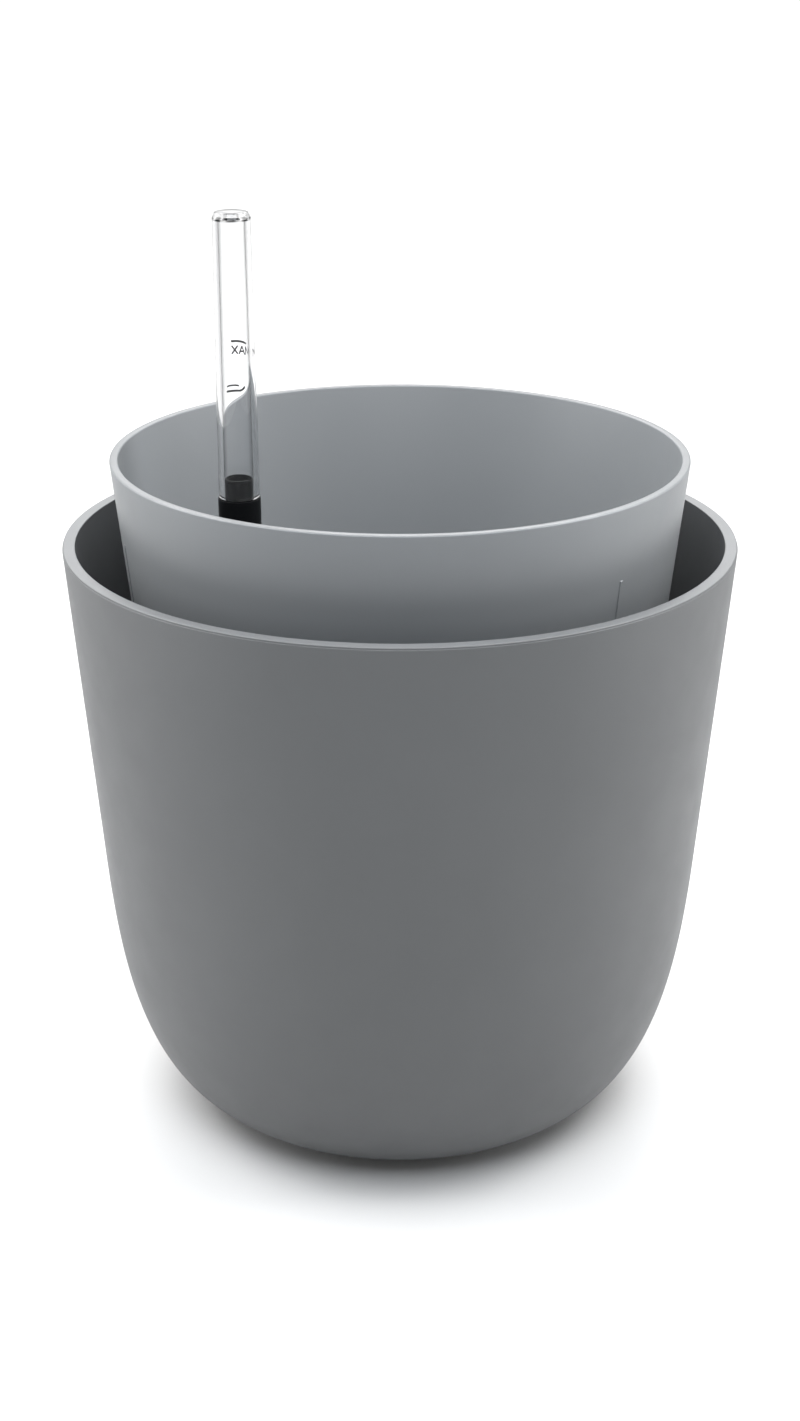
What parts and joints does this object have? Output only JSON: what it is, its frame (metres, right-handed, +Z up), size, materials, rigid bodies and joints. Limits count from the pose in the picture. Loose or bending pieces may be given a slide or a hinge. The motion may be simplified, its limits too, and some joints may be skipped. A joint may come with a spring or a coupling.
{
  "type": "self-watering pot",
  "caption": "Bowl-shaped outer pot with a lift-out inner pot on slotted wick cups and a float gauge in a clear sight tube.",
  "frame": {"origin": "centre of the outer pot's foot ring, on the surface that it stands on", "axes": "+Z up along the pots' axis, -Y to the front as pictured, the gauge on the -X side"},
  "size_m": [0.28, 0.28, 0.3858],
  "materials": {
    "outer_grey": "fine satin, moulded",
    "insert_grey": "satin, moulded",
    "black_plastic": "semi-gloss, moulded",
    "clear_plastic": "clear, polished",
    "float_white": "foam, dull",
    "rod_red": "semi-gloss, moulded"
  },
  "bodies": {
    "outer": {"outer_pot": "outer_grey"},
    "insert": {"inner_pot": "insert_grey", "wick_cup_1": "black_plastic", "wick_cup_2": "black_plastic", "wick_cup_3": "black_plastic"},
    "gauge": {"gauge_stem": "black_plastic", "sight_tube": "clear_plastic", "stem_end_cap": "black_plastic"},
    "float": {"gauge_float": "float_white", "indicator_rod": "rod_red"}
  },
  "joints": [
    {"name": "insert_lift", "type": "slide", "parent": "outer", "child": "insert", "axis": [0, 0, 1], "range_m": [0, 0.27]},
    {"name": "gauge_lift", "type": "slide", "parent": "insert", "child": "gauge", "axis": [0, 0, 1], "range_m": [0, 0.24]},
    {"name": "float_rise", "type": "slide", "parent": "gauge", "child": "float", "axis": [0, 0, 1], "range_m": [0, 0.0605]}
  ]
}
